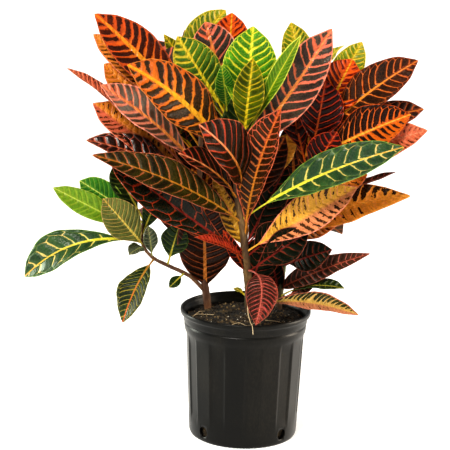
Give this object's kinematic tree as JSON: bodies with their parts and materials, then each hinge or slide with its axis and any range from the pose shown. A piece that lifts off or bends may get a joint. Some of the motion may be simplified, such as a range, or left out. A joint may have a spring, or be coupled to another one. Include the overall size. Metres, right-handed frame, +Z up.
{
  "type": "potted croton",
  "caption": "Bushy potted croton: leafy upright stems with veined multicolour blades, rooted in soil in a round fluted nursery pot with drain holes; stands on a floor or table as decor.",
  "frame": {"origin": "centre of the pot's underside", "axes": "+Z up along the pot's axis, -Y towards the plant's front, +X to the right of someone facing that front"},
  "size_m": [0.6978, 0.3967, 0.7608],
  "materials": {
    "pot_plastic": "satin black, ribbed, slightly dusty",
    "soil": "dark crumbly peat and bark",
    "left_foliage": "glossy living leaves, red and orange veins on dark green",
    "centre_foliage": "glossy living leaves, yellow and pink veins on green",
    "right_foliage": "glossy living leaves, orange and pink veins on maroon",
    "back_foliage": "glossy living leaves, yellow veins on green"
  },
  "bodies": {
    "root": {"nursery_pot": "pot_plastic", "potting_soil": "soil", "left_leafy_stem": "left_foliage", "centre_leafy_stem": "centre_foliage", "right_leafy_stem": "right_foliage", "back_leafy_stem": "back_foliage"}
  },
  "joints": []
}
